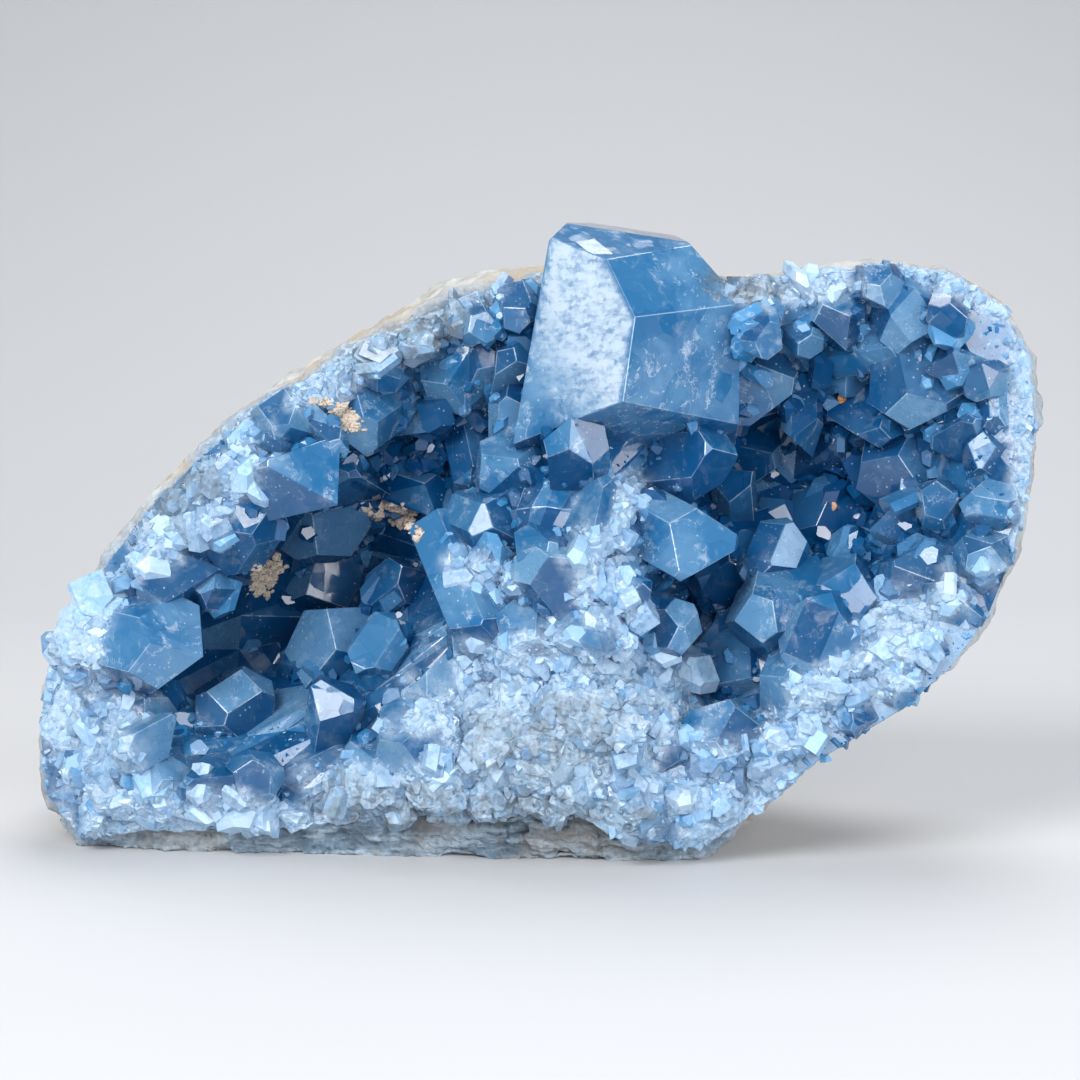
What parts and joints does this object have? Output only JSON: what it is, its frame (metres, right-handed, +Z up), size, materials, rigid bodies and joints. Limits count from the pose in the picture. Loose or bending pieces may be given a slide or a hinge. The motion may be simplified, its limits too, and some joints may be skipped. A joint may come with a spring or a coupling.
{
  "type": "celestite geode",
  "caption": "Open half of a geode: a pale rock shell lined with a crust of translucent blue celestine crystals, a large tabular crystal at the top, standing on a flat underside.",
  "frame": {"origin": "on the ground under the middle of the geode's bounding box", "axes": "+X along the long axis, to the right of someone who looks into the open face; the open face looks towards -Y; +Z up"},
  "size_m": [0.233, 0.1092, 0.1448],
  "materials": {
    "matrix_rock": "chalky, rough, stained",
    "celestine": "translucent milky blue with bright faces"
  },
  "bodies": {
    "root": {"rock_shell": "matrix_rock", "crystal_crust": "celestine"}
  },
  "joints": []
}
